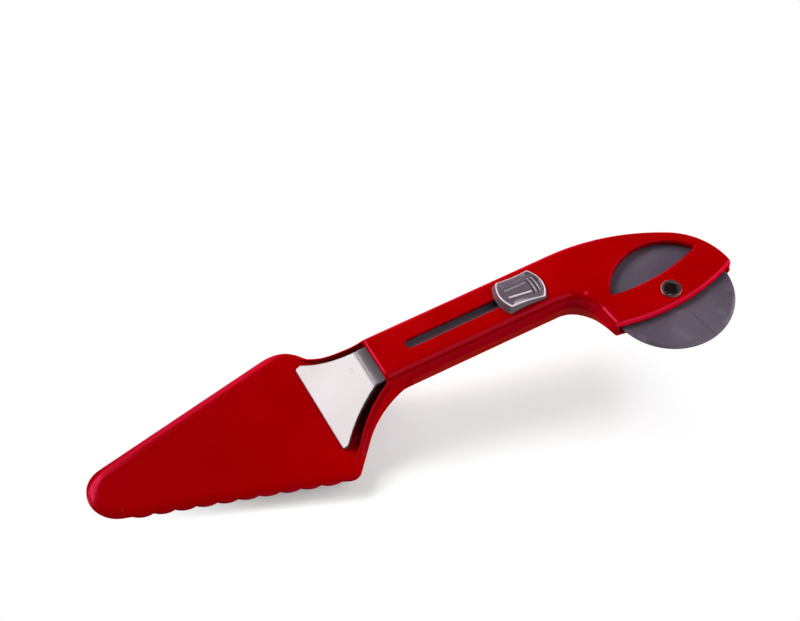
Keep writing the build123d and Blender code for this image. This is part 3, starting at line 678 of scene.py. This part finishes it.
def top_height(u):
    """Height of the sloping top above the handle, falling evenly from the front corner to the rear."""
    share = (u + button_front) / (button_front + button_rear)
    return front_height + (rear_height - front_height) * share


def arc_distance(u, v, places):
    """Least distance from arcs across the button that cross its middle line at given places."""
    return np.abs(np.hypot(u[..., None] - places + ridge_arc, v[..., None]) - ridge_arc).min(axis=-1)


def across_fade(v):
    """One along the middle of the button, falling to zero at the ends of the ridges."""
    return np.clip((ridge_reach - np.abs(v)) / ridge_fade, 0, 1)


def rib_distance(u, v):
    """Distance from two straight ribs along the button, a little further apart at the rear."""
    share = np.clip((u - rib_front) / (rib_rear - rib_front), 0, 1)
    rib_u = rib_front + share * (rib_rear - rib_front)
    rib_v = rib_front_v + share * (rib_rear_v - rib_front_v)
    return np.hypot(u - rib_u, np.abs(v) - rib_v)


def relief(u, v):
    """Height of the ridges and the ribs above the dish."""
    ridge = ridge_height * np.clip(1 - (arc_distance(u, v, ridge_places) / ridge_half_width) ** 2, 0, 1)
    rib = rib_height * np.clip(1 - (rib_distance(u, v) / rib_half_width) ** 2, 0, 1)
    return np.maximum(ridge * across_fade(v), rib)


# %% Painted highlights and shade on the button's relief
# Painted highlights on the ribs and the ridges' crowns, and painted shade in the grooves and at the ribs' feet.
near_crest_highlight, far_crest_highlight, crest_width = 0.85, 0.12, 0.4 * mm
crown_highlight = 0.15
groove_shade, groove_width = 0.9, 0.5 * mm
foot_shade, foot_distance, foot_width = 0.3, 1.0 * mm, 0.35 * mm


def hill(distance, width):
    """Smooth bump of height one, falling off with the square of a distance over a width."""
    return np.exp(-((distance / width) ** 2))


def relief_painted_light(u, v):
    """Painted highlight on the ribs, most on the near one, a little on the ridges, and painted shade in the
    grooves and by the ribs."""
    crest = np.where(v < 0, near_crest_highlight, far_crest_highlight) * hill(rib_distance(u, v), crest_width)
    crown = crown_highlight * hill(arc_distance(u, v, ridge_places), ridge_half_width) * across_fade(v)
    groove = groove_shade * hill(arc_distance(u, v, groove_places), groove_width) * across_fade(v)
    foot = foot_shade * hill(rib_distance(u, v) - foot_distance, foot_width)
    return np.maximum(crest, crown) - np.maximum(groove, foot)


# %% [markdown]
# ## Thumb button: cap and stem
# The rim's profile is a short list of rows: how far in from the outline, how deep below the top as a share of
# the dish, and how strong its painted highlight is. The sheet starts in the middle of the dish, climbs over the
# rim, goes down the leaning side to the foot and closes underneath. A plain stem goes down through the slot.

# %% Top of the cap
button_lift = 0.2 * mm
foot_flare = 1.1 * mm
side_draft = math.tan(math.radians(16))
dish_depth = 1.0 * mm
rim_width, rear_steepness = 0.5 * mm, 0.7
# Share by which the rim's painted highlight is weaker on the far rim.
far_rim_highlight_loss = 0.55
dish_rows, side_rows = 60, 12
# Rows of the rim's profile: inset, drop as a share of the dish, and strength of the painted highlight.
rim_profile = np.array([
    [3.4, 1.0, 0], [2.9, 0.97, 0], [2.2, 0.8, 0], [1.6, 0.55, 0], [1.1, 0.32, 0], [0.75, 0.15, 0.1],
    [0.5, 0.04, 0.35], [0.36, 0.0, 0.8], [0.2, 0.0, 1.0], [0.1, 0.03, 1.0], [0.03, 0.1, 0.85],
    [0.0, 0.22, 0.25],
])


def button_top():
    """Sheet from the middle of the dish over the rim: the outline drawn in by an inset, at the top's height
    less a drop. The dish is steeper at the rear. Inside it the last ring shrinks evenly to the middle. The
    last value is the painted light, whose highlight is weaker on the far rim."""
    lean = (top_height(outline[:, 0]) - button_lift) * side_draft - foot_flare
    steeper = 1 - rear_steepness * np.clip(outline[:, 0] / button_rear, 0, 1) ** 2
    step_in = rim_profile[:, 0, None] * mm
    inset = np.minimum(step_in, rim_width) + np.maximum(step_in - rim_width, 0) * steeper + lean
    plan = outline + inset[..., None] * shrink
    drop = np.broadcast_to(rim_profile[:, 1, None] * dish_depth, inset.shape)
    rim = rim_profile[:, 2, None] * (1 - far_rim_highlight_loss * np.clip(outline[:, 1] / half_rear, 0, 1))
    inner = np.linspace(0, 1, dish_rows, endpoint=False)[:, None, None]
    centre = plan[0].mean(axis=0)
    plan = np.concatenate([centre + inner * (plan[0] - centre), plan])
    drop = np.concatenate([np.broadcast_to(drop[0], (dish_rows, len(outline))), drop])
    rim = np.concatenate([np.zeros((dish_rows, len(outline))), rim])
    u, v = plan[..., 0], plan[..., 1]
    in_dish = np.clip(drop / dish_depth, 0, 1)
    return u, v, top_height(u) - drop + relief(u, v) * in_dish, rim + relief_painted_light(u, v) * in_dish


# %% Cap and stem
stem_radius = 2.2 * mm
stem_bottom = -6.5 * mm


def button_cap():
    """Closed cap with its painted light: the top sheet, the leaning side down to the foot, and the flat
    underside.
    """
    u, v, w, painted_light = button_top()
    foot = outline - foot_flare * shrink
    fall = np.linspace(0, 1, side_rows)[1:, None]
    feet = (foot[:, 0], foot[:, 1], button_lift)
    side = [rows[-1] + fall * (last - rows[-1]) for rows, last in zip((u, v, w), feet)]
    under = [side[0][-1:] * 0, side[1][-1:] * 0, side[2][-1:]]
    rows = [np.concatenate([a, b, c]) for a, b, c in zip((u, v, w), side, under)]
    return on_handle(*rows), np.concatenate([painted_light, np.zeros((len(rows[0]) - len(painted_light), len(outline)))])


def round_post(radius, bottom, top, count=48):
    """Closed cylinder about w: rings of one radius, and both ends drawn in to the axis."""
    angle = np.linspace(0, 2 * math.pi, count, endpoint=False)
    radii = np.array([0, 1, 1, 0])[:, None] * radius
    heights = np.array([bottom, bottom, top, top])[:, None]
    return on_handle(radii * np.cos(angle), radii * np.sin(angle), heights)


cap, cap_painted_light = button_cap()
stem = round_post(stem_radius, stem_bottom, button_lift)
button = new_piece("thumb_button", [cap, stem], grey_button, "slider", painted_light=cap_painted_light)
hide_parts("thumb_slider")

# %% [markdown]
# ## Screws
# Five small screws hold the underside of the handle. A screw head is a low dome with a cross recess. The
# dome is a turned shape, so the head is a grid of radius and angle, and the recess is simply a drop in its
# height wherever the point lies inside one of the two crossed slots.

# %% Screws with a cross recess
screw_places = np.array([[24, 8], [24, -8], [84, 8], [84, -8], [107, 2]]) * mm
screw_seat = -8.6 * mm
head_radius, head_height, head_rim_share = 2.0 * mm, 1.4 * mm, 0.72
shank_radius, shank_length = 1.0 * mm, 5.5 * mm
slot_half, slot_reach, slot_depth = 0.28 * mm, 1.15 * mm, 0.7 * mm
slot_side_slope, slot_end_slope = 0.12 * mm, 0.25 * mm
head_rows, screw_columns = 40, 96
button_from_start = 72 * mm
handle_start = button_place - button_from_start * handle_along


def screw(place):
    """Closed screw, head downwards: rings from the recess over the dome, up the shank and to its tip."""
    angle = np.linspace(0, 2 * math.pi, screw_columns, endpoint=False)
    shank = [head_radius, shank_radius, shank_radius, 0]
    radius = np.concatenate([np.linspace(0, head_radius, head_rows), shank])[:, None]
    bulge = np.sqrt(np.clip(1 - (radius / head_radius) ** 2, 0, 1))
    dome = head_height * (head_rim_share + (1 - head_rim_share) * bulge)
    u, v = radius * np.cos(angle), radius * np.sin(angle)
    near, far = np.minimum(np.abs(u), np.abs(v)), np.maximum(np.abs(u), np.abs(v))
    in_slot = np.clip((slot_half - near) / slot_side_slope, 0, 1)
    in_reach = np.clip((slot_reach - far) / slot_end_slope, 0, 1)
    w = screw_seat - dome + slot_depth * in_slot * in_reach
    w[-len(shank):] = (screw_seat + np.array([0, 0, shank_length, shank_length]))[:, None]
    return on_handle(u + place[0], v + place[1], w, handle_start)


screw_sheets = [screw(place) for place in screw_places]
screws = new_piece("cross_head_screws", screw_sheets, screw_steel, "server")
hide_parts("base_screws")

# %% [markdown]
# ## Floor
# The tool stands on the tip of its blade over a plain white sweep, with the wheel's end held a little higher,
# so the gap and the shadow both grow from the tip towards the handle. The floor leans by that small angle,
# because the solids themselves are never moved. Near the tool it is mostly ordinary matt white, which takes
# the soft shadow. A share of it gives its white itself where the camera or a reflection looks at it. That
# share is small under the blade, larger under the handle, where the shadow is fainter, and whole further out.

# %% White floor that keeps the shadow
floor_half = 4.0
floor_drop = 0.5 * mm
floor_tilt = math.radians(3.2)
near_glow, handle_glow, far_glow = 0.20, 0.36, 1.0
seen_white, bounced_white = 0.92, 0.55
handle_shadow_run = (15 * mm, 60 * mm)
shadow_middle = (45 * mm, -30 * mm, -10 * mm)
shadow_reach = (70 * mm, 135 * mm)

floor_mesh = bpy.data.meshes.new("studio_floor")
floor_plan = np.array([[-1, -1], [1, -1], [1, 1], [-1, 1]]) * floor_half
floor_height = -floor_drop - math.tan(floor_tilt) * (floor_plan[:, :1] - cad_low.x)
floor_corners = np.concatenate([floor_plan, floor_height], axis=1)
floor_mesh.from_pydata(floor_corners.tolist(), [], [[0, 1, 2, 3]])
floor = bpy.data.objects.new("studio_floor", floor_mesh)
bpy.context.scene.collection.objects.link(floor)

floor_paint = bpy.data.materials.new("white_sweep")
floor_paint.use_nodes = True
tree = floor_paint.node_tree
tree.nodes.clear()
rays = add(tree, "ShaderNodeLightPath")
seen = combine(tree, "MAXIMUM", rays.outputs["Is Camera Ray"], rays.outputs["Is Glossy Ray"])
seen = combine(tree, "MAXIMUM", seen, rays.outputs["Is Transmission Ray"])
place = object_place(tree)
away = distance_from(tree, place, shadow_middle)
along = add(tree, "ShaderNodeSeparateXYZ", {0: place}).outputs["X"]
near = remap(tree, along, handle_shadow_run, (near_glow, handle_glow))
glow_share = combine(tree, "MAXIMUM", near, remap(tree, away, shadow_reach, (near_glow, far_glow)))
shown_glow = combine(tree, "MULTIPLY", seen, glow_share)
white = remap(tree, seen, (0, 1), (bounced_white, seen_white), smooth=False)
matt = add(tree, "ShaderNodeBsdfDiffuse", {"Color": white})
glow = add(tree, "ShaderNodeEmission", {"Color": (1, 1, 1, 1), "Strength": 1.0})
blend = add(tree, "ShaderNodeMixShader", {0: shown_glow, 1: matt.outputs[0], 2: glow.outputs[0]})
add(tree, "ShaderNodeOutputMaterial", {"Surface": blend.outputs[0]})
floor_mesh.materials.append(floor_paint)
print("floor", 2 * floor_half, "m wide")

# %% [markdown]
# ## World
# The world behind the floor is white to the camera, so that no dark horizon shows, but it is only a dim light
# for everything else. The Light Path node tells the two apart.

# %% World that is white to the camera and dim as a light
world_light = 0.05
world = bpy.data.worlds.new("studio_world")
bpy.context.scene.world = world
world.use_nodes = True
tree = world.node_tree
tree.nodes.clear()
rays = add(tree, "ShaderNodeLightPath")
level = remap(tree, rays.outputs["Is Camera Ray"], (0, 1), (world_light, 1.0), smooth=False)
sky = add(tree, "ShaderNodeBackground", {"Color": (1, 1, 1, 1), "Strength": level})
add(tree, "ShaderNodeOutputWorld", {"Surface": sky.outputs[0]})
bpy.context.scene.view_settings.view_transform = "Standard"
print("world light", world_light)

# %% [markdown]
# ## Studio light
# The strongest softbox stands behind the tool and makes the soft shadow in front of it, and a dim one low
# behind it brightens the blade's far edge. The pusher's slope mirrors a third one on the left, and the bend
# above the slope mirrors the dim panel beside that one. A wide, low softbox on the right and a dim panel
# above it brighten the neck's near lip and the guard's edges. A large dim panel in front fills the shadows
# and shows as a crimson band along the handle's near rounding. Their strength is chosen so that a level
# surface shows about the colour that its material gives.

# %% Softboxes
lamp_distance = 2.4


def softbox(name, direction, size, radiance, colour=(1, 1, 1)):
    """Area lamp that faces the middle of the object. Its power is radiance times area times pi."""
    lamp = bpy.data.lights.new(name, "AREA")
    lamp.shape = "RECTANGLE"
    lamp.size, lamp.size_y = size
    lamp.energy = radiance * math.pi * size[0] * size[1]
    lamp.color = colour
    holder = bpy.data.objects.new(name, lamp)
    bpy.context.scene.collection.objects.link(holder)
    middle = (cad_low + cad_high) / 2
    toward = type(middle)(direction).normalized()
    holder.location = middle + toward * lamp_distance
    holder.rotation_euler = toward.to_track_quat("Z", "Y").to_euler()
    print("softbox", name, round(lamp.energy, 1), "W")


softbox("key_softbox", (-0.20, 0.70, 0.69), (1.3, 0.9), 9.0)
softbox("back_strip", (0.25, 0.92, 0.30), (1.1, 1.6), 4.2)
softbox("left_softbox", (-0.75, 0.48, 0.46), (1.05, 1.0), 13.5, (1.0, 0.94, 0.92))
softbox("bend_fill", (-0.45, 0.52, 0.72), (0.9, 0.5), 3.0)
softbox("right_softbox", (0.86, -0.34, 0.38), (2.1, 1.1), 4.2)
softbox("lip_panel", (0.66, 0.08, 0.74), (1.0, 0.9), 2.6)
softbox("front_fill", (0.25, -0.60, 0.76), (2.2, 1.8), 1.6)
